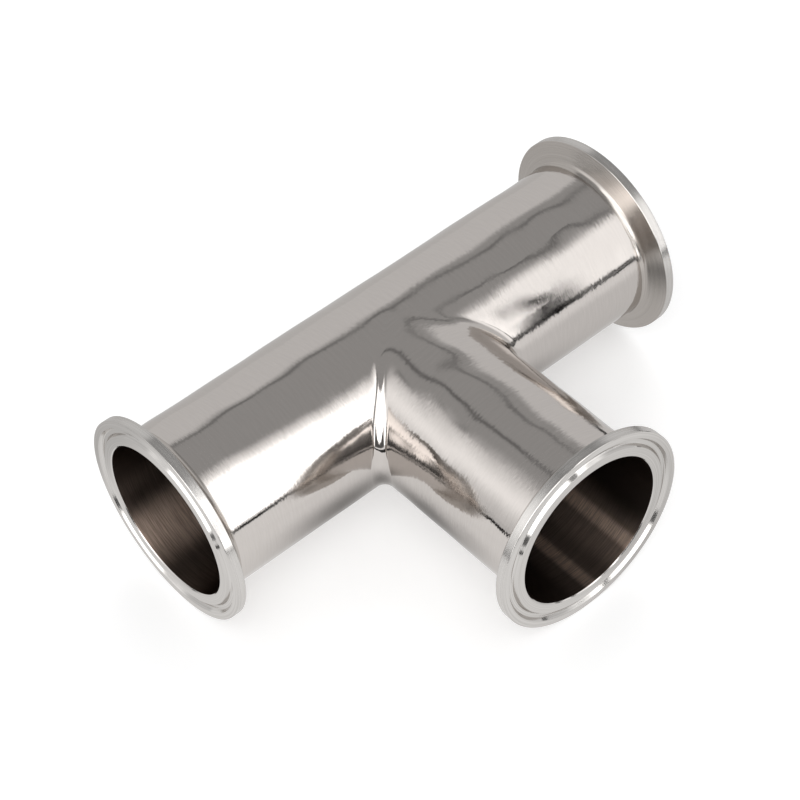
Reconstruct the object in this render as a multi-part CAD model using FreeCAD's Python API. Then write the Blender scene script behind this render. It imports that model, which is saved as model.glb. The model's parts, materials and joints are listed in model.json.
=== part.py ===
import FreeCAD, Part
import math
import os

# Sanitary clamp tee for 2 inch hygienic tube, in polished stainless steel.
#
# A straight run of tube has a branch of the same size drawn out of its side, and each
# of the three ends carries a turned ferrule that takes a gasket and a hinged clamp. The
# welds are ground flush and polished away, so the finished fitting is one solid piece.
#
# The origin is where the axes of the run and the branch cross. +X is along the run, the
# branch points to -Y and +Z is up. The fitting lies on the rims of its three flanges.

# Driving dimensions, in millimetres and degrees

# Tube
tube_d = 50.8
tube_wall = 1.5
run_length = 164.0  # from flange face to flange face
branch_reach = 82.0  # from the run's axis to the branch's flange face
branch_relief = 0.05  # the drawn branch is this much smaller in radius than the run
crotch_radius = 4.0  # outside, where the branch leaves the run

# Ferrule
ferrule_length = 13.0  # from the flange face to the weld
flange_height = 6.6  # how far the flange stands out of the tube
rim_width = 2.85
flange_taper = 20.0  # slope of the flange's back, on which the clamp draws up
root_radius = 2.0  # between the flange's back and the neck
rim_rounding = 0.3

# Sealing face
groove_inset = 3.6  # from the rim to the middle of the gasket groove
groove_width = 2.7  # at the face
groove_depth = 1.1
groove_floor_width = 1.3
groove_rounding = 0.35
mouth_chamfer = 0.3  # at the edge of the bore

# Worked out from the driving dimensions
tube_r = tube_d / 2
flange_r = tube_r + flange_height
groove_r = flange_r - groove_inset
overrun = tube_wall  # how far the bore's form passes the ends that it opens

ALONG_RUN = FreeCAD.Vector(1, 0, 0)
ALONG_BRANCH = FreeCAD.Vector(0, -1, 0)
CENTRE = FreeCAD.Vector(0, 0, 0)


def corner_arc(before, corner, after, radius):
    """The arc that rounds a corner of an outline, tangent to both of its sides."""
    to_before = (before - corner).normalize()
    to_after = (after - corner).normalize()
    half_angle = to_before.getAngle(to_after) / 2
    inward = (to_before + to_after).normalize()
    tangent_length = radius / math.tan(half_angle)
    centre = corner + inward * (radius / math.sin(half_angle))
    return Part.Arc(
        corner + to_before * tangent_length,
        centre - inward * radius,
        corner + to_after * tangent_length,
    )


def outline(corners):
    """A closed wire through corners, each given as (along the axis, radius, rounding)."""
    points = [FreeCAD.Vector(along, 0, radius) for along, radius, rounding in corners]
    edges = []
    stretch_ends = []
    for i, point in enumerate(points):
        rounding = corners[i][2]
        if rounding:
            arc = corner_arc(points[i - 1], point, points[(i + 1) % len(points)], rounding)
            edges.append(arc.toShape())
            stretch_ends.append((arc.StartPoint, arc.EndPoint))
        else:
            stretch_ends.append((point, point))
    for i, (start, end) in enumerate(stretch_ends):
        next_start = stretch_ends[(i + 1) % len(stretch_ends)][0]
        edges.append(Part.makeLine(end, next_start))
    return Part.Wire(Part.__sortEdges__(edges))


def ferrule(neck_r):
    """A turned ferrule along +X, with its sealing face in the plane through the origin."""
    bore_r = neck_r - tube_wall
    taper_length = (flange_r - neck_r) * math.tan(math.radians(flange_taper))
    profile = outline([
        (-ferrule_length, bore_r, 0),
        (-mouth_chamfer, bore_r, 0),
        (0, bore_r + mouth_chamfer, 0),
        (0, groove_r - groove_width / 2, 0),
        (-groove_depth, groove_r - groove_floor_width / 2, groove_rounding),
        (-groove_depth, groove_r + groove_floor_width / 2, groove_rounding),
        (0, groove_r + groove_width / 2, 0),
        (0, flange_r, rim_rounding),
        (-rim_width, flange_r, rim_rounding),
        (-rim_width - taper_length, neck_r, root_radius),
        (-ferrule_length, neck_r, 0),
    ])
    return Part.Face(profile).revolve(CENTRE, ALONG_RUN, 360)


def place_end(turned, direction, distance):
    """Move a turned piece from +X to the end of the fitting that lies in a direction."""
    placed = turned.copy()
    turn = FreeCAD.Rotation(ALONG_RUN, direction)
    placed.Placement = FreeCAD.Placement(direction * distance, turn)
    return placed


def tee_form(run_r, run_ends, branch_end, saddle_radius):
    """A round bar with a round branch, and a rolling ball fillet along their saddle curve.

    The branch is a hair smaller than the run. The saddle curve is then one smooth closed
    loop, and its fillet narrows to almost nothing where the two skins meet at the top.
    """
    run = Part.makeCylinder(run_r, 2 * run_ends, ALONG_RUN * -run_ends, ALONG_RUN)
    bar = Part.makeCylinder(run_r - branch_relief, branch_end, CENTRE, ALONG_RUN)
    crossed = run.fuse(place_end(bar, ALONG_BRANCH, 0)).removeSplitter()
    saddle = [e for e in crossed.Edges if not isinstance(e.Curve, (Part.Line, Part.Circle))]
    return crossed.makeFillet(saddle_radius, saddle)


def drawn_tee():
    """The tube body between the ferrules, with the same wall round its crotch as elsewhere."""
    run_ends = run_length / 2 - ferrule_length
    branch_end = branch_reach - ferrule_length
    skin = tee_form(tube_r, run_ends, branch_end, crotch_radius)
    bore = tee_form(
        tube_r - tube_wall,
        run_ends + overrun,
        branch_end + overrun,
        crotch_radius + tube_wall,
    )
    return skin.cut(bore)


def clamp_tee():
    run_ferrule = ferrule(tube_r)
    branch_ferrule = ferrule(tube_r - branch_relief)
    ends = [
        place_end(run_ferrule, ALONG_RUN, run_length / 2),
        place_end(run_ferrule, ALONG_RUN * -1, run_length / 2),
        place_end(branch_ferrule, ALONG_BRANCH, branch_reach),
    ]
    return drawn_tee().fuse(ends).removeSplitter()


os.makedirs("parts", exist_ok=True)
clamp_tee().exportStep("parts/clamp_tee.step")
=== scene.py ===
import json
import math

import bpy
import numpy as np
from mathutils import Matrix, Vector


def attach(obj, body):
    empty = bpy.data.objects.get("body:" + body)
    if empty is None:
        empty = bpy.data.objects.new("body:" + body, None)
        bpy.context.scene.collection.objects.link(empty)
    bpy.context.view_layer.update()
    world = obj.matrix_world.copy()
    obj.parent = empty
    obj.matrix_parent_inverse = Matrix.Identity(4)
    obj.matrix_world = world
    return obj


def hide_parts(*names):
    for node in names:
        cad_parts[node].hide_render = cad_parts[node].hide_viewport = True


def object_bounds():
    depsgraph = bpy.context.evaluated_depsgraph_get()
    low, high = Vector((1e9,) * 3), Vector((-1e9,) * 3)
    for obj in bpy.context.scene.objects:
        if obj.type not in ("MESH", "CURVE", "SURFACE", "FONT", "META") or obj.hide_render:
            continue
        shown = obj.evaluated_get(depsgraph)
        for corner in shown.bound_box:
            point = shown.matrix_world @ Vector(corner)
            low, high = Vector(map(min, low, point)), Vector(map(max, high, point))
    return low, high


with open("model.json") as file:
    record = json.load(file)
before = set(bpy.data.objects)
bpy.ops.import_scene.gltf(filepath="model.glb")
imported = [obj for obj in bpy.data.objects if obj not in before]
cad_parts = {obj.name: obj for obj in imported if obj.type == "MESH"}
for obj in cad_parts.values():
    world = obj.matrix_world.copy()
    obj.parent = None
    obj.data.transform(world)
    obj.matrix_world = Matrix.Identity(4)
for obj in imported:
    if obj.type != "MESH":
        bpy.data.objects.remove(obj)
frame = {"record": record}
cad_low, cad_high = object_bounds()
NODE = "clamp_tee"

# The sanitary clamp tee in a studio. Lengths are in metres.
#
# The frame's origin is where the axes of the run and the branch cross. The run lies along
# X, the branch points to -Y, and the fitting lies on the rims of its three flanges.

# Sizes, read from the frame where it states them
MM = 0.001
mounts = {m["name"]: m for m in frame["record"]["mounts"]}
flange_r = mounts["run_flange_right"]["dims"]["r_mm"] * MM
bore_r = mounts["run_bore"]["dims"]["r_mm"] * MM
end_reach = cad_high.x
wall = 1.5 * MM
tube_r = bore_r + wall
crotch_r = 4.0 * MM
mouth_chamfer = 0.3 * MM
edge_break = 0.06 * MM  # on the edges that the lathe left sharp
rim_width = 2.85 * MM
rim_rounding = 0.3 * MM
flange_taper = math.radians(20)
root_r = 2.0 * MM
groove_r = flange_r - 3.6 * MM
groove_width = 2.7 * MM
groove_depth = 1.1 * MM
groove_floor = 1.3 * MM
groove_rounding = 0.35 * MM

# Mesh density
HALF_TURN = 96  # steps round half of a tube
ALONG = 44  # steps along one arm of the outer skin
ALONG_BORE = 24
ACROSS_CROTCH = 14
ARC_STEP = math.radians(12)  # on the turned edges
WELD = 0.0001 * MM  # points nearer than this become one

# Where the finishes meet
FLANGE_ZONE = 6.6 * MM  # from a flange's face to where its back has run out into the neck
FADE = 8 * MM  # over which the ripples end at a flange
CROTCH_BLEND = 2 * MM
RIM_DEPTH = 0.04 * MM  # a face less than this under the flange's radius is on its rim
BORE_DEPTH = 0.02 * MM  # a face more than this outside the bore's radius is on the flange

# Ripples that the polishing belt left in the skin
RIPPLES = 60
RIPPLE_SHORT = 8 * MM
RIPPLE_LONG = 34 * MM
RIPPLE_TILT = math.radians(1.2)
SLOPE_STEP = 0.05 * MM  # to either side, to find a ripple's slope
CALM_SHARE = 0.75  # how much of the ripples is missing where the front came out even
JUNCTION_TOP = (0, -24 * MM, tube_r)
JUNCTION_EXTRA = 0.5  # more ripples there than elsewhere
JUNCTION_SPREAD = 18 * MM
ROCK_TILT = 0.08  # of the skin, as a slope
ROCK_START = 18 * MM  # from the run's axis, along the branch
ROCK_LENGTH = 19 * MM
ROCK_MIDDLE = 26 * MM
ROCK_SPREAD = 13 * MM
ROCK_WIDTH = 5.5 * MM

# The top of the junction, dressed by hand
DRESSED_REACH = 15.5 * MM  # out from the junction's middle
DRESSED_FADE = 8 * MM
DRESSED_MIDDLE = 5 * MM  # past the right crease, on the branch
DRESSED_WIDTH = 14 * MM

# Steel. A dim colour is that of the low marks in it, an edge colour that of a glancing view. In the
# bores, though, the near-black colour is painted shade and the brown one is painted light
STEEL = (0.605, 0.568, 0.541)
STEEL_DIM = (0.588, 0.552, 0.526)
STEEL_EDGE = (0.86, 0.85, 0.84, 1)
FACE = (0.64, 0.62, 0.6)
FACE_DIM = (0.54, 0.52, 0.5)
FACE_ROUGH = (0.08, 0.15)
RIM_ROUGH = (0.2, 0.27)
BACK = (0.52, 0.485, 0.455)
BACK_DIM = (0.45, 0.42, 0.39)
BACK_ROUGH = (0.17, 0.24)
BORE_PAINTED_LIGHT = (0.78, 0.59, 0.48)
BORE_PAINTED_SHADE = (0.085, 0.066, 0.056)
BORE_EDGE = (0.42, 0.37, 0.34, 1)
# Where the painted light lies round each bore, as streaks
RUN_PAINTED_LIGHT_STREAKS = (  # angle up from across, half width, strength
    (math.radians(-59), math.radians(34), 0.58),
    (math.radians(-25), math.radians(26), 0.15),
    (math.radians(-98), math.radians(38), 0.14),
)
BRANCH_PAINTED_LIGHT_STREAKS = (
    (math.radians(-50), math.radians(9), 0.55),
    (math.radians(-56), math.radians(36), 0.2),
    (math.radians(-89), math.radians(8), 0.6),
    (math.radians(-92), math.radians(24), 0.14),
)
PAINTED_LIGHT_EDGE = 3.0  # the higher, the softer a streak ends
HAIR_LEAN = 0.15  # of the finest lines
LINE_LEAN = 0.05
RUN_HAIR = (0.5, 0.85)  # left and right end, of what the branch has

# Light of the studio gear, as reflections see it: 1 is white, and what ends in DARK is the
# share that is missing
WALLS = 0.75
CEILING = 0.4
RIGHT_BOX = 1.4
FRONT_BOX = 3.2
LEFT_BOX = 0.75
LEFT_SPOT = 0.55  # more than the box round it
CREASE_BOX = 2.4
SEAM_DARK = 0.5
BACK_LINE_DARK = 0.58
UPRIGHT_DARK = 0.85
GAP_DARK = 0.96
STAND_LIGHT = 0.01
SHEET_EDGE_LIGHT = 0.03
SHEET_EDGE_STRIP = 0.5  # more than the edge round it
SHEET_BEHIND = 0.7

# Places of the studio gear
TENT_R = 1.1
TENT_TURNS = 180
TENT_ROWS = 90
TENT_LOW = -12  # degrees, under the horizon
BOXES_AZIMUTH = 222
BOXES_HALF = 96
CREASE_BOX_AZIMUTH = 226
CREASE_BOX_TOP = 68
GAP_AZIMUTH = 223
GEAR_REACH = 0.55  # from the middle of the fitting to the gear over it
STAND_DEPTH = -0.24
PANEL_EDGE_HALF = 10 * MM
SHEET_LIFT = 0.2 * MM  # over the floor
SHEET_EDGE_LIFT = 0.3 * MM
CROTCH_PAINTED_SHADE_PLACE = 28 * MM  # from the axes, to the front and to either side

# The floor, the world and the camera
FLOOR_HALF = 0.9
FLOOR_COLOR = (0.82, 0.82, 0.82, 1)
FLOOR_LIFT = 0.36  # of white, added where the background shows
WORLD_LEVEL = 0.55
WHITE = (1, 1, 1, 1)
CAMERA_PLACE = (-0.29057, -0.37768, 0.51261)
CAMERA_AZIMUTH = math.radians(-37.788)  # from -Y, to +X
CAMERA_ELEVATION = math.radians(47.825)
CAMERA_ROLL = math.radians(-4.308)
CAMERA_LENS = 109.82
CAMERA_SENSOR = 36


def unit(v):
    """Vectors of length 1 in the same directions."""
    return v / np.linalg.norm(v, axis=-1, keepdims=True)


def soft_step(value, edge, softness):
    """0 below an edge and 1 above it, with a smooth change that is as wide as the softness."""
    share = np.clip((value - edge) / softness + 0.5, 0, 1)
    return share * share * (3 - 2 * share)


def soft_band(value, low, high, softness):
    """1 from low to high and 0 outside, with smooth changes."""
    return soft_step(value, low, softness) * (1 - soft_step(value, high, softness))


def hump(value, middle, spread):
    """A smooth hump of height 1."""
    return np.exp(-((value - middle) / spread) ** 2)


def toward(value, goal, share):
    """A value that has gone a share of the way to its goal."""
    return value + (goal - value) * share


def turned_profile():
    """The ferrule's section from the neck to the bore, as (back from the face, radius) with normals."""
    taper_run = (flange_r - tube_r) * math.tan(flange_taper)
    corners = [
        (rim_width + taper_run + root_r * 2, tube_r, 0),
        (rim_width + taper_run, tube_r, root_r),
        (rim_width, flange_r, rim_rounding),
        (0, flange_r, rim_rounding),
        (0, groove_r + groove_width / 2, edge_break),
        (groove_depth, groove_r + groove_floor / 2, groove_rounding),
        (groove_depth, groove_r - groove_floor / 2, groove_rounding),
        (0, groove_r - groove_width / 2, edge_break),
        (0, bore_r + mouth_chamfer, edge_break),
        (mouth_chamfer, bore_r, edge_break),
        (rim_width * 2, bore_r, 0),
    ]
    points, normals = [], []
    for i, (back, r, rounding) in enumerate(corners):
        here = np.array([back, r])
        if not rounding:
            points.append(here)
            normals.append(np.array([0.0, 1.0 if i == 0 else -1.0]))
            continue
        to_last = unit(np.array(corners[i - 1][:2]) - here)
        to_next = unit(np.array(corners[i + 1][:2]) - here)
        half = math.acos(np.clip(to_last @ to_next, -1, 1)) / 2
        centre = here + unit(to_last + to_next) * (rounding / math.sin(half))
        start = here + to_last * (rounding / math.tan(half))
        end = here + to_next * (rounding / math.tan(half))
        turn = math.pi - 2 * half
        steps = max(2, math.ceil(turn / ARC_STEP))
        a, b = unit(start - centre), unit(end - centre)
        convex = a[0] * b[1] - a[1] * b[0]
        for s in np.linspace(0, 1, steps + 1):
            d = (math.sin((1 - s) * turn) * a + math.sin(s * turn) * b) / math.sin(turn)
            points.append(centre + d * rounding)
            normals.append(-d if convex < 0 else d)
    return np.array(points), np.array(normals)


def slerp(a, b, s):
    """Unit vectors between a and b. Rows of a and b pair up, and s is one share."""
    angle = np.arccos(np.clip((a * b).sum(-1, keepdims=True), -1, 1))
    small = angle < 1e-6
    safe = np.where(small, 1, angle)
    mixed = (np.sin((1 - s) * safe) * a + np.sin(s * safe) * b) / np.sin(safe)
    return np.where(small, a, mixed)


class Skin:
    """Collects vertices with normals, and quads between them."""

    def __init__(self):
        self.points, self.normals, self.quads = [], [], []
        self.count = 0

    def grid(self, points, normals):
        """Add a grid of vertices, (stations, around, 3), with the quads over it."""
        shape = points.shape[:2]
        self.points.append(points.reshape(-1, 3))
        self.normals.append(unit(normals).reshape(-1, 3))
        numbers = np.arange(self.count, self.count + shape[0] * shape[1]).reshape(shape)
        self.count += numbers.size
        corners = [numbers[:-1, :-1], numbers[1:, :-1], numbers[1:, 1:], numbers[:-1, 1:]]
        self.quads.append(np.stack(corners, -1).reshape(-1, 4))


def arm_stations(root, end, count):
    """Stations along an arm, from each root to one end, as (count + 1, around)."""
    s = np.linspace(0, 1, count + 1)[:, None]
    return root[None] * (1 - s) + end * s


def tee_skin(skin, r, saddle_r, end, along, inward):
    """One skin of the tee, outer or bore, up to its three ends."""
    out = -1 if inward else 1
    phi = np.linspace(-math.pi / 2, math.pi / 2, HALF_TURN + 1)
    c, s, zero = np.cos(phi), np.sin(phi), np.zeros_like(phi)
    c[0] = c[-1] = 0.0
    for side in (1, -1):
        root = (r + saddle_r) * c
        x = arm_stations(root, end, along)[::-1]
        ones = np.ones_like(x)
        run = np.stack([side * x, -r * c * ones, r * s * ones], -1)
        run_n = np.stack([0 * x, -c * ones, s * ones], -1)
        centre = np.stack([side * root, -root, (r + saddle_r) * s], -1)
        to_run = np.stack([zero, c, -s], -1)
        to_branch = np.stack([-side * c, zero, -s], -1)
        shares = np.linspace(0, 1, ACROSS_CROTCH + 1)[1:-1]
        arcs = np.stack([slerp(to_run, to_branch, t) for t in shares])
        saddle = centre[None] + saddle_r * arcs
        y = arm_stations(root, end, along)
        branch = np.stack([side * r * c * ones, -y, r * s * ones], -1)
        branch_n = np.stack([side * c * ones, 0 * y, s * ones], -1)
        points = np.concatenate([run, saddle, branch])
        normals = np.concatenate([run_n, -arcs, branch_n])
        skin.grid(points, normals * out)
    turn = np.linspace(math.pi / 2, 3 * math.pi / 2, HALF_TURN + 1)
    x = np.linspace(-end, end, 2 * along + 1)[:, None]
    ones = np.ones_like(x)
    back_n = np.stack([0 * x * turn, -np.cos(turn) * ones, np.sin(turn) * ones], -1)
    back = back_n * r + np.stack([x * np.ones_like(turn), 0 * x * turn, 0 * x * turn], -1)
    skin.grid(back, back_n * out)


def tee_mesh():
    """The whole fitting: the outer skin, the bores and the three turned ends."""
    profile, profile_n = turned_profile()
    skin = Skin()
    outer_end = end_reach - profile[0, 0]
    bore_end = end_reach - profile[-1, 0]
    tee_skin(skin, tube_r, crotch_r, outer_end, ALONG, inward=False)
    tee_skin(skin, bore_r, crotch_r + wall, bore_end, ALONG_BORE, inward=True)
    angles = np.linspace(0, 2 * math.pi, 2 * HALF_TURN + 1) - math.pi / 2
    c, s = np.cos(angles)[None], np.sin(angles)[None]
    back, radius = profile[:, 0, None], profile[:, 1, None]
    n_out, n_r = -profile_n[:, 0, None], profile_n[:, 1, None]
    ones = np.ones_like(c)
    for side in (1, -1):
        points = np.stack([side * (end_reach - back) * ones, -radius * c, radius * s], -1)
        normals = np.stack([side * n_out * ones, -n_r * c, n_r * s], -1)
        skin.grid(points, normals)
    points = np.stack([radius * c, -(end_reach - back) * ones, radius * s], -1)
    normals = np.stack([n_r * c, -n_out * ones, n_r * s], -1)
    skin.grid(points, normals)
    return skin


def welded(skin):
    """One closed mesh from the grids: points that meet become one, and faces turn outwards."""
    points, normals = np.concatenate(skin.points), np.concatenate(skin.normals)
    quads = np.concatenate(skin.quads)
    _, first, number = np.unique(
        np.round(points / WELD).astype(int), axis=0, return_index=True, return_inverse=True
    )
    number = number.ravel()
    summed = np.zeros((len(first), 3))
    np.add.at(summed, number, normals)
    points, normals, quads = points[first], unit(summed), number[quads]
    diagonals = points[quads[:, 2:]] - points[quads[:, :2]]
    out = np.cross(diagonals[:, 0], diagonals[:, 1])
    inside_out = (out * normals[quads].sum(1)).sum(1) < 0
    quads[inside_out] = quads[inside_out][:, ::-1]
    faces = [list(dict.fromkeys(quad)) for quad in quads.tolist()]
    return points, normals, [face for face in faces if len(face) > 2]


def waves(count, shortest, longest, seed):
    """Directions, wave numbers and phases of smooth random ripples."""
    dice = np.random.default_rng(seed)
    lengths = np.exp(dice.uniform(math.log(shortest), math.log(longest), count))
    ways = unit(dice.normal(size=(count, 3)))
    return ways * (2 * math.pi / lengths)[:, None], dice.uniform(0, 2 * math.pi, count), lengths


def belt_height(points, ripples):
    """How far the belt left the skin above or below its true form."""
    numbers, phases, lengths = ripples
    heights = RIPPLE_TILT * lengths / (2 * math.pi) * math.sqrt(2 / RIPPLES)
    height = (heights * np.sin(points @ numbers.T + phases)).sum(1)
    # The top of the junction was dressed by hand and is the least even
    from_junction = np.linalg.norm(points - np.array(JUNCTION_TOP), axis=1)
    height *= 1 + JUNCTION_EXTRA * hump(from_junction, 0, JUNCTION_SPREAD)
    # The run's front came out more even, at its left end and just right of the branch
    x, y, z = points.T
    left = soft_step(-x, edge=20 * MM, softness=16 * MM)
    left = left * soft_band(-y, low=7 * MM, high=27 * MM, softness=6 * MM)
    right = soft_band(x, low=24 * MM, high=66 * MM, softness=12 * MM)
    right = right * soft_band(-y, low=14 * MM, high=27 * MM, softness=6 * MM)
    height *= 1 - CALM_SHARE * np.maximum(left, right)
    # At the junction the belt also rocked, as it turned over from one arm to the other
    rocking = np.sin(2 * math.pi * (-y - ROCK_START) / ROCK_LENGTH)
    place = hump(-y, ROCK_MIDDLE, ROCK_SPREAD) * hump(x, 0, ROCK_WIDTH)
    return height + ROCK_TILT * x * rocking * place * (z > 0)


def polished(points, normals):
    """Points and normals of the skin as a belt leaves it: in soft ripples, a degree or so."""
    ripples = waves(RIPPLES, RIPPLE_SHORT, RIPPLE_LONG, seed=7)
    # The flanges are turned, not polished, and keep their form
    reach = np.abs(points[:, :2]).max(1)
    share = soft_step(end_reach - FLANGE_ZONE - reach, FADE / 2, FADE)[:, None]
    slope = np.zeros_like(points)
    for axis, step in enumerate(np.eye(3) * SLOPE_STEP):
        rise = belt_height(points + step, ripples) - belt_height(points - step, ripples)
        slope[:, axis] = rise / (2 * step[axis])
    slope -= normals * (slope * normals).sum(1, keepdims=True)
    height = belt_height(points, ripples)[:, None]
    return points + normals * height * share, unit(normals - slope * share)


def dressed(points, normals):
    """Normals of the skin where hand work made one smooth form of the junction's top."""
    x, y, z = points.T
    flat = np.zeros_like(x)
    middle = DRESSED_MIDDLE * soft_step(x, edge=0, softness=16 * MM)
    to_branch = soft_step(-y - np.abs(x), middle, DRESSED_WIDTH)[:, None]
    run_way = unit(np.stack([flat, y, z], -1))
    branch_way = unit(np.stack([x, flat, z], -1))
    smooth = unit(run_way * (1 - to_branch) + branch_way * to_branch)
    share = 1 - soft_step((np.abs(x) - y) / 2, DRESSED_REACH, DRESSED_FADE)[:, None]
    return unit(normals + (smooth - normals) * share)


def build_tee():
    """The fitting as one mesh, with a finish for each kind of face."""
    points, normals, faces = welded(tee_mesh())
    finish = finish_of(np.array([points[face].mean(0) for face in faces]))
    arm_share = branch_share(points)
    outside = outer_skin(points)
    normals[outside] = dressed(points[outside], normals[outside])
    points[outside], normals[outside] = polished(points[outside], normals[outside])
    mesh = bpy.data.meshes.new("tee_body")
    mesh.from_pydata(points.tolist(), [], faces)
    mesh.shade_smooth()
    mesh.normals_split_custom_set_from_vertices(normals.tolist())
    tee = bpy.data.objects.new("tee_body", mesh)
    bpy.context.scene.collection.objects.link(tee)
    face_steel = turned_steel("turned_face", FACE, FACE_DIM, FACE_ROUGH)
    back_steel = turned_steel("turned_back", BACK, BACK_DIM, BACK_ROUGH)
    rim_steel = turned_steel("turned_rim", FACE, FACE_DIM, RIM_ROUGH)
    finishes = (polished_steel(), face_steel, bore_steel(), back_steel, rim_steel)
    for material in finishes:
        mesh.materials.append(material)
    mesh.polygons.foreach_set("material_index", finish)
    arm = mesh.attributes.new("arm", "FLOAT", "POINT")
    arm.data.foreach_set("value", arm_share)
    return tee


def outer_skin(points):
    """True where a point is on the outside of the tubes, not in a bore."""
    run_r = np.hypot(points[:, 1], points[:, 2])
    branch_r = np.where(points[:, 1] < 0, np.hypot(points[:, 0], points[:, 2]), np.inf)
    return np.minimum(run_r, branch_r) > tube_r - wall / 2


def branch_share(points):
    """0 on the run and 1 on the branch, with a soft change across the crotch."""
    return soft_step(-points[:, 1] - np.abs(points[:, 0]), edge=0, softness=2 * CROTCH_BLEND)


def finish_of(centres):
    """The finish at each face: 0 skin, 1 flange face, 2 bore, 3 flange back, 4 flange rim."""
    reach = np.abs(centres[:, :2]).max(1)
    along_branch = -centres[:, 1] > np.abs(centres[:, 0])
    across = np.where(along_branch, centres[:, 0], centres[:, 1])
    radius = np.hypot(across, centres[:, 2])
    flange = (reach > end_reach - FLANGE_ZONE) & (radius > bore_r + BORE_DEPTH)
    inside = ~outer_skin(centres) & ~flange
    back = flange & (reach < end_reach - rim_width)
    rim = flange & (radius > flange_r - RIM_DEPTH)
    return np.select([back, rim, flange, inside], [3, 4, 1, 2], 0).astype(np.int32)


class Graph:
    """A short way to write a material's nodes."""

    def __init__(self, name):
        self.material = bpy.data.materials.new(name)
        self.material.use_nodes = True
        self.tree = self.material.node_tree
        self.shader = self.tree.nodes["Principled BSDF"]
        self.normal = self.node("ShaderNodeNewGeometry").outputs["Normal"]

    def node(self, kind, **settings):
        made = self.tree.nodes.new(kind)
        for key, value in settings.items():
            setattr(made, key, value)
        return made

    def feed(self, socket, value):
        if isinstance(value, bpy.types.NodeSocket):
            self.tree.links.new(value, socket)
        else:
            socket.default_value = value

    def math(self, operation, *values):
        made = self.node("ShaderNodeMath", operation=operation)
        for socket, value in zip(made.inputs, values):
            self.feed(socket, value)
        return made.outputs[0]

    def vector(self, operation, *values, out=0):
        made = self.node("ShaderNodeVectorMath", operation=operation)
        for socket, value in zip(made.inputs, values):
            self.feed(socket, value)
        return made.outputs[out]

    def noise(self, vector, detail, roughness=0.5):
        made = self.node("ShaderNodeTexNoise")
        self.feed(made.inputs["Vector"], vector)
        made.inputs["Scale"].default_value = 1.0
        made.inputs["Detail"].default_value = detail
        made.inputs["Roughness"].default_value = roughness
        return made.outputs["Fac"]

    def ramp(self, value, span, onto):
        """Carry a value from one span onto another, with smooth ends."""
        made = self.node("ShaderNodeMapRange", interpolation_type="SMOOTHSTEP")
        names = ("Value", "From Min", "From Max", "To Min", "To Max")
        for name, number in zip(names, (value, *span, *onto)):
            self.feed(made.inputs[name], number)
        return made.outputs[0]

    def blend(self, share, low, high):
        made = self.node("ShaderNodeMix", data_type="VECTOR")
        self.feed(made.inputs["Factor"], share)
        self.feed(made.inputs["A"], low)
        self.feed(made.inputs["B"], high)
        return made.outputs["Result"]

    def tint(self, share, low, high):
        made = self.node("ShaderNodeMix", data_type="RGBA")
        self.feed(made.inputs["Factor"], share)
        self.feed(made.inputs["A"], (*low, 1))
        self.feed(made.inputs["B"], (*high, 1))
        return made.outputs["Result"]

    def bump(self, height, distance, normal=None):
        made = self.node("ShaderNodeBump")
        self.feed(made.inputs["Height"], height)
        made.inputs["Distance"].default_value = distance
        made.inputs["Strength"].default_value = 1.0
        if normal is not None:
            self.feed(made.inputs["Normal"], normal)
        return made.outputs[0]


def turned_place(graph):
    """Where a point lies round its arm's axis: (along and out, across, up), and the way round."""
    place = graph.node("ShaderNodeTexCoord").outputs["Object"]
    arm = graph.node("ShaderNodeAttribute", attribute_name="arm").outputs["Fac"]
    parts = graph.node("ShaderNodeSeparateXYZ")
    graph.feed(parts.inputs[0], place)
    x, y, z = parts.outputs
    rows = []
    for along, across in ((x, y), (y, x)):
        across_squared = graph.math("MULTIPLY", across, across)
        z_squared = graph.math("MULTIPLY", z, z)
        out = graph.math("SQRT", graph.math("ADD", across_squared, z_squared))
        turned = graph.node("ShaderNodeCombineXYZ")
        graph.feed(turned.inputs[0], graph.math("ADD", graph.math("ABSOLUTE", along), out))
        graph.feed(turned.inputs[1], across)
        graph.feed(turned.inputs[2], z)
        rows.append(turned.outputs[0])
    way_run = graph.vector("CROSS_PRODUCT", (1, 0, 0), place)
    way_branch = graph.vector("CROSS_PRODUCT", (0, 1, 0), place)
    return graph.blend(arm, *rows), graph.blend(arm, way_run, way_branch)


def stretched(graph, turned, fine, long):
    """Texture coordinates of marks that are fine along the axis and long round it."""
    return graph.vector("MULTIPLY", turned, (1 / fine, 1 / long, 1 / long))


def steel(name, color, roughness, anisotropy):
    """A steel that is brushed round its arm's axis, and the coordinates for its marks."""
    graph = Graph(name)
    shader = graph.shader
    shader.inputs["Metallic"].default_value = 1.0
    shader.inputs["Base Color"].default_value = (*color, 1)
    shader.inputs["Roughness"].default_value = roughness
    shader.inputs["Specular Tint"].default_value = STEEL_EDGE
    shader.inputs["Anisotropic"].default_value = anisotropy
    turned, around = turned_place(graph)
    axial = graph.vector("CROSS_PRODUCT", graph.normal, around)
    graph.feed(shader.inputs["Tangent"], graph.vector("NORMALIZE", axial))
    return graph, turned, around


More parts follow.
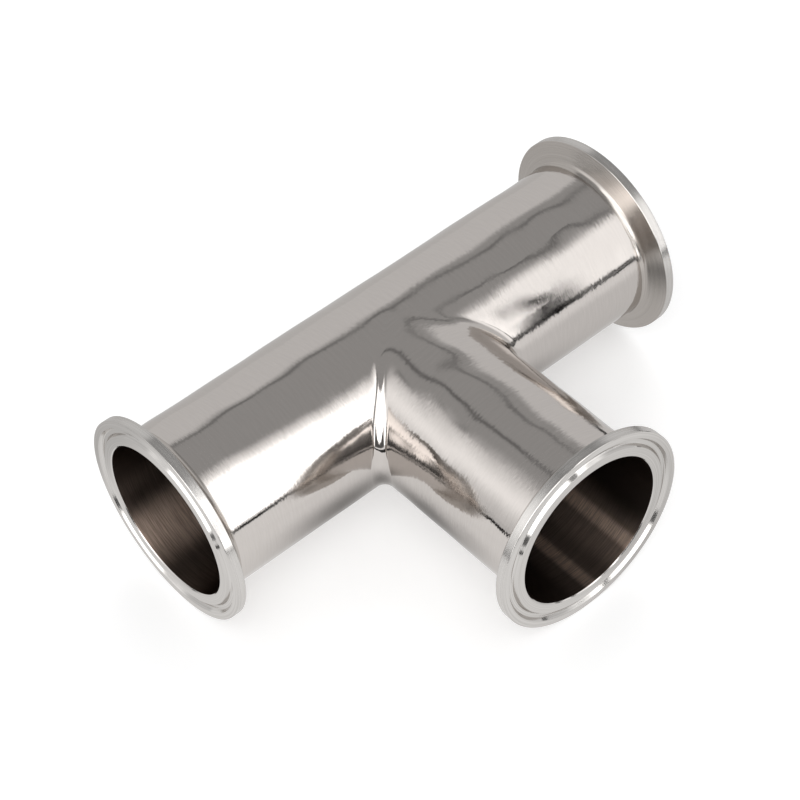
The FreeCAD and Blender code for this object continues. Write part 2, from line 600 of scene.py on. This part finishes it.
def polished_steel():
    """Mirror polish with the belt's fine lines round the tubes."""
    graph, turned, around = steel("polished_steel", STEEL, roughness=0.1, anisotropy=0.5)
    hair = graph.noise(stretched(graph, turned, fine=0.24 * MM, long=1.7 * MM), detail=1.0)
    lines = graph.noise(stretched(graph, turned, fine=0.55 * MM, long=6 * MM), detail=2.0)
    patches = graph.noise(stretched(graph, turned, fine=12 * MM, long=15 * MM), detail=2.0)
    arm = graph.node("ShaderNodeAttribute", attribute_name="arm").outputs["Fac"]
    place = graph.node("ShaderNodeTexCoord").outputs["Object"]
    to_right = graph.vector("DOT_PRODUCT", place, (1, 0, 0), out=1)
    run_hair = graph.ramp(to_right, span=(-20 * MM, 20 * MM), onto=RUN_HAIR)
    arm_hair = graph.ramp(arm, span=(0, 1), onto=(run_hair, 1.0))
    patch_hair = graph.ramp(patches, span=(0.35, 0.65), onto=(0.35, 1.0))
    # Each line leans the skin a little to and fro round the tube, which frays what it mirrors
    hair_lean = graph.math("MULTIPLY", graph.math("SUBTRACT", hair, 0.5), HAIR_LEAN)
    line_lean = graph.math("MULTIPLY", graph.math("SUBTRACT", lines, 0.5), LINE_LEAN)
    lean = graph.math("ADD", hair_lean, line_lean)
    way = graph.node("ShaderNodeVectorMath", operation="SCALE")
    graph.feed(way.inputs[0], graph.vector("NORMALIZE", around))
    lean_here = graph.math("MULTIPLY", lean, graph.math("MULTIPLY", patch_hair, arm_hair))
    graph.feed(way.inputs["Scale"], lean_here)
    leant = graph.vector("NORMALIZE", graph.vector("ADD", graph.normal, way.outputs[0]))
    rough = graph.ramp(patches, span=(0.35, 0.7), onto=(0.05, 0.12))
    line_share = graph.ramp(lines, span=(0.3, 0.7), onto=(0, 1))
    graph.feed(graph.shader.inputs["Normal"], graph.bump(hair, 0.005 * MM, normal=leant))
    graph.feed(graph.shader.inputs["Roughness"], rough)
    graph.feed(graph.shader.inputs["Base Color"], graph.tint(line_share, STEEL_DIM, STEEL))
    return graph.material


def turned_steel(name, bright, dim, rough):
    """Faces, rims and backs of the flanges, with the lathe's rings."""
    graph, turned, _ = steel(name, bright, roughness=0.14, anisotropy=0.4)
    rings = graph.noise(
        stretched(graph, turned, fine=0.2 * MM, long=60 * MM), detail=3.0, roughness=0.7
    )
    smudge = graph.noise(stretched(graph, turned, fine=6 * MM, long=9 * MM), detail=1.0)
    ring_share = graph.ramp(rings, span=(0.35, 0.65), onto=(0, 1))
    smudged = graph.ramp(smudge, span=(0.3, 0.7), onto=rough)
    graph.feed(graph.shader.inputs["Normal"], graph.bump(rings, 0.01 * MM))
    graph.feed(graph.shader.inputs["Roughness"], smudged)
    graph.feed(graph.shader.inputs["Base Color"], graph.tint(ring_share, dim, bright))
    return graph.material


def painted_light_share(graph, turned, streaks):
    """How bright the painted light streaks make a point of a bore, by the angle round its axis."""
    share = 0.0
    for angle, half_width, strength in streaks:
        middle = (0, math.cos(angle) / bore_r, math.sin(angle) / bore_r)
        near = graph.vector("DOT_PRODUCT", turned, middle, out=1)
        inside = graph.ramp(near, span=(math.cos(half_width), 1), onto=(0, 1))
        peak = graph.math("POWER", inside, PAINTED_LIGHT_EDGE)
        share = graph.math("ADD", share, graph.math("MULTIPLY", peak, strength))
    return share


def bore_steel():
    """The bores: satin, with painted shade that makes them dark, painted light in brown streaks along
    the bottom, and the sizing tool's rings.
    """
    graph, turned, _ = steel("bore_steel", BORE_PAINTED_LIGHT, roughness=0.3, anisotropy=0.85)
    graph.shader.inputs["Specular Tint"].default_value = BORE_EDGE
    rings = graph.noise(
        stretched(graph, turned, fine=0.28 * MM, long=9 * MM), detail=3.0, roughness=0.7
    )
    arm = graph.node("ShaderNodeAttribute", attribute_name="arm").outputs["Fac"]
    # Painted light, in streaks set by the angle round each bore
    run_painted_light = painted_light_share(graph, turned, RUN_PAINTED_LIGHT_STREAKS)
    branch_painted_light = painted_light_share(graph, turned, BRANCH_PAINTED_LIGHT_STREAKS)
    share = graph.ramp(arm, span=(0, 1), onto=(run_painted_light, branch_painted_light))
    grain = graph.ramp(rings, span=(0.3, 0.7), onto=(0.55, 1.35))
    bright = graph.math("MULTIPLY", share, grain)
    graph.feed(graph.shader.inputs["Normal"], graph.bump(rings, 0.02 * MM))
    # The base colour paints the bores' shade, near black, and their light, brown
    graph.feed(graph.shader.inputs["Base Color"], graph.tint(bright, BORE_PAINTED_SHADE, BORE_PAINTED_LIGHT))
    return graph.material


def away(azimuth, middle):
    """How far a direction is from another, in degrees."""
    return np.abs((azimuth - middle + 180) % 360 - 180)


def in_arc(azimuth, middle, half, softness):
    """1 within an arc of directions and 0 outside, with smooth ends."""
    return 1 - soft_step(away(azimuth, middle), half, softness)


def room_light(azimuth, elevation):
    """Pale walls under a darker ceiling, with a dark seam and a dark upright line behind."""
    to_right = in_arc(azimuth, middle=80, half=40, softness=20)
    wall_top = 44.5 - 8 * to_right
    light = toward(WALLS, CEILING, soft_step(elevation, wall_top, softness=9))
    behind = 1 - in_arc(azimuth, middle=210, half=100, softness=40)
    seam = hump(elevation, middle=49, spread=1.6) * behind
    line = hump(away(azimuth, -14), middle=0, spread=5)
    line = line * soft_step(elevation, edge=50, softness=3)
    return light * (1 - SEAM_DARK * seam) * (1 - BACK_LINE_DARK * line)


def with_softboxes(light, azimuth, elevation):
    """The softboxes: dim on the right, bright in front, and with a bright spot on the left."""
    turn = azimuth % 360
    front = soft_step(turn, edge=158, softness=26)
    left = soft_step(turn, edge=278, softness=30)
    left_light = LEFT_BOX + LEFT_SPOT * hump(elevation, middle=28, spread=17)
    strength = toward(toward(RIGHT_BOX, FRONT_BOX, front), left_light, left)
    top = 49 + 10 * soft_step(turn, edge=144, softness=20) - 6 * left
    under_top = 1 - soft_step(elevation, top, softness=18 + 6 * left)
    box = in_arc(azimuth, BOXES_AZIMUTH, BOXES_HALF, softness=16) * under_top
    return toward(light, strength, box)


def with_crease_box(light, azimuth, elevation):
    """What the crease beside the branch mirrors: a softbox, and the dark upright on its right."""
    facing = in_arc(azimuth, CREASE_BOX_AZIMUTH, half=58, softness=12)
    box = facing * soft_band(elevation, low=30, high=CREASE_BOX_TOP, softness=6)
    light = toward(light, CREASE_BOX, box)
    light = toward(light, CEILING, facing * soft_step(elevation, CREASE_BOX_TOP, softness=6))
    upright_start = 166 - 11 * soft_step(elevation, edge=50, softness=14)
    upright = soft_band(azimuth % 360, upright_start, high=181, softness=5)
    upright = upright * soft_band(elevation, low=8, high=CREASE_BOX_TOP, softness=6)
    return light * (1 - UPRIGHT_DARK * upright)


def with_gap(light, azimuth, elevation):
    """The dark gap under the softboxes, in front: lowest in its middle."""
    aside = away(azimuth, GAP_AZIMUTH)
    top = np.minimum(7 + 15 * (aside / 24) ** 2, 28)
    gap = in_arc(azimuth, GAP_AZIMUTH, half=34, softness=7)
    gap = gap * (1 - soft_step(elevation, top, softness=6))
    return light * (1 - GAP_DARK * gap)


def tent_light(azimuth, elevation):
    """The tent's light by direction, in degrees: azimuth 0 is +Y and 90 is +X."""
    light = room_light(azimuth, elevation)
    light = with_softboxes(light, azimuth, elevation)
    light = with_crease_box(light, azimuth, elevation)
    return with_gap(light, azimuth, elevation)


def build_tent():
    """The light tent, a dome over the fitting."""
    azimuth = np.radians(np.linspace(0, 360, TENT_TURNS, endpoint=False))
    elevation = np.radians(np.linspace(TENT_LOW, 90, TENT_ROWS))
    az, el = np.meshgrid(azimuth, elevation)
    ways = np.stack([np.sin(az) * np.cos(el), np.cos(az) * np.cos(el), np.sin(el)], -1)
    points = ways * TENT_R
    numbers = np.arange(points[..., 0].size).reshape(az.shape)
    near, far = numbers[:-1], numbers[1:]
    quads = np.stack([near, np.roll(near, -1, 1), np.roll(far, -1, 1), far], -1).reshape(-1, 4)
    lit_mesh("light_tent", points.reshape(-1, 3), quads, tent_light(np.degrees(az), np.degrees(el)))


def lit_mesh(name, points, faces, light):
    """Studio gear that glows by its own light at each point."""
    mesh = bpy.data.meshes.new(name)
    corners = [[int(i) for i in face] for face in faces]
    mesh.from_pydata(np.asarray(points).tolist(), [], corners)
    mesh.attributes.new("light", "FLOAT", "POINT").data.foreach_set("value", np.ravel(light))
    thing = bpy.data.objects.new(name, mesh)
    bpy.context.scene.collection.objects.link(thing)
    material = bpy.data.materials.new(name)
    material.use_nodes = True
    nodes, links = material.node_tree.nodes, material.node_tree.links
    nodes.clear()
    glow = nodes.new("ShaderNodeEmission")
    level = nodes.new("ShaderNodeAttribute")
    level.attribute_name = "light"
    links.new(level.outputs["Fac"], glow.inputs["Strength"])
    links.new(glow.outputs[0], nodes.new("ShaderNodeOutputMaterial").inputs["Surface"])
    material.cycles.emission_sampling = "NONE"
    mesh.materials.append(material)
    reflected_only(thing)


def reflected_only(thing):
    """Studio gear that only reflections see."""
    thing.visible_camera = thing.visible_diffuse = thing.visible_shadow = False
    thing.visible_transmission = False


def strips(rows, columns):
    """The quads over a grid of points."""
    numbers = np.arange(rows * columns).reshape(rows, columns)
    corners = [numbers[:-1, :-1], numbers[:-1, 1:], numbers[1:, 1:], numbers[1:, :-1]]
    return np.stack(corners, -1).reshape(-1, 4)


def build_sheet_edge():
    """The dark edge of the sheet that the fitting lies on, with a pale strip in it on the right."""
    route = [
        (-0.2, 0.25), (-0.2, -0.29), (0.09, -0.29), (0.125, -0.245), (0.24, -0.245), (0.24, 0.25),
    ]
    heights = [0.014, 0.016, 0.018, 0.024, 0.026, 0.03]
    pale = np.array([0, 0, 0, 1, 1, 0])  # where along the route the strip is
    # Share of the height, and whether the strip is there
    rows = [(0, 0), (0.42, 0), (0.46, 1), (0.62, 1), (0.66, 0), (1, 0)]
    low = cad_low.z + SHEET_EDGE_LIFT
    points = [(x, y, low + share * high) for share, _ in rows for (x, y), high in zip(route, heights)]
    strip = np.concatenate([pale * in_strip for _, in_strip in rows])
    light = SHEET_EDGE_LIGHT + SHEET_EDGE_STRIP * strip
    lit_mesh("sheet_edge", points, strips(len(rows), len(route)), light)


def mirrored(x, angle):
    """The camera's view by way of the run's skin: a place on the skin and the way it leads on.

    The place is given by x in mm and an angle in degrees, from the run's top to its front.
    """
    tilt = math.radians(angle)
    out = np.array([0, -math.sin(tilt), math.cos(tilt)])
    place = np.array([x * MM, 0, 0]) + out * tube_r
    view = unit(np.array(CAMERA_PLACE) - place)
    return place, 2 * (out @ view) * out - view


def over_run(x, angle):
    """The point of the gear over the fitting that the run mirrors there."""
    place, way = mirrored(x, angle)
    along = place @ way
    return place + way * (math.sqrt(along ** 2 + GEAR_REACH ** 2 - place @ place) - along)


def before_run(x, angle):
    """The point of the stand, on an upright plane in front, that the run mirrors there."""
    place, way = mirrored(x, angle)
    return place + way * (STAND_DEPTH - place[1]) / way[1]


def build_stand():
    """The foot and the arm of a lamp stand, in front to the right, by where the run mirrors them."""
    arm = [
        (22, 40), (28.5, 43), (33, 45.5), (38, 49), (43.5, 51.5), (46.5, 55),
        (43, 57.5), (40.6, 57), (37, 55), (32.6, 51.5), (27, 47),
    ]
    foot = [
        (46.5, 55), (49.5, 62), (51, 71), (28, 71), (28.5, 63.5),
        (31.5, 57.8), (36, 56.5), (40.3, 57.5), (43, 57),
    ]
    points = [before_run(x, angle) for x, angle in arm + foot]
    faces = [range(len(arm)), range(len(arm), len(points))]
    lit_mesh("stand", points, faces, [STAND_LIGHT] * len(points))


def build_panel_edge():
    """The dark edge of a ceiling panel, from over the right end to over the junction."""
    seen_at = [(86, 33), (71, 29.2), (60, 27.6), (46, 24.5), (30, 24.5), (18, 24), (8, 22.3), (0, 19.5)]
    route = np.array([over_run(x, angle) for x, angle in seen_at])
    light = np.array([0.24, 0.2, 0.22, 0.2, 0.2, 0.22, 0.26, 0.36])
    aside = unit(np.cross(np.gradient(route, axis=0), route)) * PANEL_EDGE_HALF
    points = np.concatenate([route - aside, route + aside])
    lit_mesh("panel_edge", points, strips(2, len(route)), np.tile(light, 2))


def build_end_card():
    """The softbox's curved upper edge, as the left end of the run mirrors it."""
    edge = [(-88, 26.5), (-72, 27.5), (-60, 29.5), (-48, 32), (-36, 34), (-27, 35), (-21, 36)]
    rows = [(-3, 0.42), (0, 0.96), (2.5, 1.35), (7, 2.6), (16, 3.2)]  # degrees below it, light
    points = [over_run(x, angle + below) for below, _ in rows for x, angle in edge]
    light = np.repeat([glow for _, glow in rows], len(edge))
    lit_mesh("end_card", points, strips(len(rows), len(edge)), light)


def sheet_painted_light_and_shadow(x, y):
    """The sheet under the fitting as reflections see it: painted light, with painted shadow under the
    fitting, in the crotches and on the right.
    """
    beside_run = np.hypot(np.maximum(np.abs(x) - end_reach, 0), np.maximum(np.abs(y) - tube_r, 0))
    past_branch = np.maximum(np.maximum(-end_reach - y, y), 0)
    beside_branch = np.hypot(np.maximum(np.abs(x) - tube_r, 0), past_branch)
    apart = np.minimum(beside_run, beside_branch)
    # Painted shadow: under the fitting, deepest in the two crotches, and over the right side
    from_crotch = np.hypot(np.abs(x) - CROTCH_PAINTED_SHADE_PLACE, y + CROTCH_PAINTED_SHADE_PLACE)
    right = soft_step(x, edge=10 * MM, softness=30 * MM)
    right = right * soft_step(y, edge=-110 * MM, softness=60 * MM)
    painted_shadow_under = 1 - 0.06 * np.exp(-apart / (14 * MM))
    painted_crotch_shade = 1 - (0.65 + 0.05 * right) * hump(from_crotch, middle=0, spread=20 * MM)
    light = painted_shadow_under * painted_crotch_shade * (1 - 0.2 * right)
    return toward(light, SHEET_BEHIND, soft_step(y, edge=50 * MM, softness=20 * MM))


def build_sheet():
    """The sheet that the fitting lies on, as reflections see it, glowing with painted light and painted
    shadow: fine near the fitting.
    """
    near = np.linspace(-0.3, 0.3, 121)
    steps = np.concatenate([[-0.95, -0.6], near, [0.6, 0.95]])
    x, y = np.meshgrid(steps, steps)
    points = np.stack([x, y, np.full_like(x, cad_low.z + SHEET_LIFT)], -1)
    lit_mesh("sheet", points.reshape(-1, 3), strips(*x.shape), sheet_painted_light_and_shadow(x, y))


def background_rays(nodes, links):
    """1 for the rays that show the background: camera, glossy and transmission rays."""
    path = nodes.new("ShaderNodeLightPath")
    seen = path.outputs["Is Camera Ray"]
    for kind in ("Is Glossy Ray", "Is Transmission Ray"):
        either = nodes.new("ShaderNodeMath")
        either.operation = "MAXIMUM"
        links.new(seen, either.inputs[0])
        links.new(path.outputs[kind], either.inputs[1])
        seen = either.outputs[0]
    return seen


def build_floor():
    """The white floor, which keeps the fitting's shadow."""
    mesh = bpy.data.meshes.new("floor")
    half = FLOOR_HALF
    corners = [(-half, -half, 0), (half, -half, 0), (half, half, 0), (-half, half, 0)]
    mesh.from_pydata(corners, [], [(0, 1, 2, 3)])
    floor = bpy.data.objects.new("floor", mesh)
    floor.location.z = cad_low.z
    bpy.context.scene.collection.objects.link(floor)
    material = bpy.data.materials.new("floor")
    material.use_nodes = True
    nodes, links = material.node_tree.nodes, material.node_tree.links
    shader = nodes["Principled BSDF"]
    shader.inputs["Base Color"].default_value = FLOOR_COLOR
    shader.inputs["Roughness"].default_value = 1.0
    shader.inputs["Specular IOR Level"].default_value = 0
    shader.inputs["Emission Color"].default_value = WHITE
    lift = nodes.new("ShaderNodeMath")
    lift.operation = "MULTIPLY"
    lift.inputs[1].default_value = FLOOR_LIFT
    links.new(background_rays(nodes, links), lift.inputs[0])
    links.new(lift.outputs[0], shader.inputs["Emission Strength"])
    mesh.materials.append(material)


def lamp(name, place, size, power):
    """A soft lamp that shines on the fitting and that reflections don't see."""
    light = bpy.data.lights.new(name, "AREA")
    light.shape = "SQUARE"
    light.size = size
    light.energy = power
    holder = bpy.data.objects.new(name, light)
    holder.location = place
    holder.rotation_mode = "QUATERNION"
    holder.rotation_quaternion = Vector(place).to_track_quat("Z", "Y")
    holder.visible_glossy = False
    bpy.context.scene.collection.objects.link(holder)


def build_world():
    """White where the background shows, and a little less as a light."""
    world = bpy.data.worlds.new("studio")
    world.use_nodes = True
    bpy.context.scene.world = world
    nodes, links = world.node_tree.nodes, world.node_tree.links
    level = nodes.new("ShaderNodeMapRange")
    links.new(background_rays(nodes, links), level.inputs["Value"])
    level.inputs["To Min"].default_value = WORLD_LEVEL
    level.inputs["To Max"].default_value = 1.0
    links.new(level.outputs[0], nodes["Background"].inputs["Strength"])
    nodes["Background"].inputs["Color"].default_value = WHITE


def build_camera():
    """The photograph's viewpoint, found by fitting the fitting's outline to it."""
    camera = bpy.data.cameras.new("camera")
    camera.sensor_width = CAMERA_SENSOR
    camera.lens = CAMERA_LENS
    holder = bpy.data.objects.new("camera", camera)
    back = Vector((
        math.sin(CAMERA_AZIMUTH) * math.cos(CAMERA_ELEVATION),
        -math.cos(CAMERA_AZIMUTH) * math.cos(CAMERA_ELEVATION),
        math.sin(CAMERA_ELEVATION),
    ))
    aim = back.to_track_quat("Z", "Y").to_matrix() @ Matrix.Rotation(CAMERA_ROLL, 3, "Z")
    holder.matrix_world = Matrix.Translation(CAMERA_PLACE) @ aim.to_4x4()
    bpy.context.scene.collection.objects.link(holder)
    bpy.context.scene.camera = holder


tee = build_tee()
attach(tee, "root")
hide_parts(NODE)

# The studio. What glows by itself is seen by reflections only
build_tent()
build_sheet_edge()
build_stand()
build_panel_edge()
build_end_card()
build_sheet()
build_floor()
lamp("key", place=(-0.8, -0.9, 1.3), size=1.4, power=14)
lamp("fill", place=(0.9, 0.8, 1.3), size=1.4, power=7)
build_world()
build_camera()
bpy.context.scene.view_settings.view_transform = "Standard"
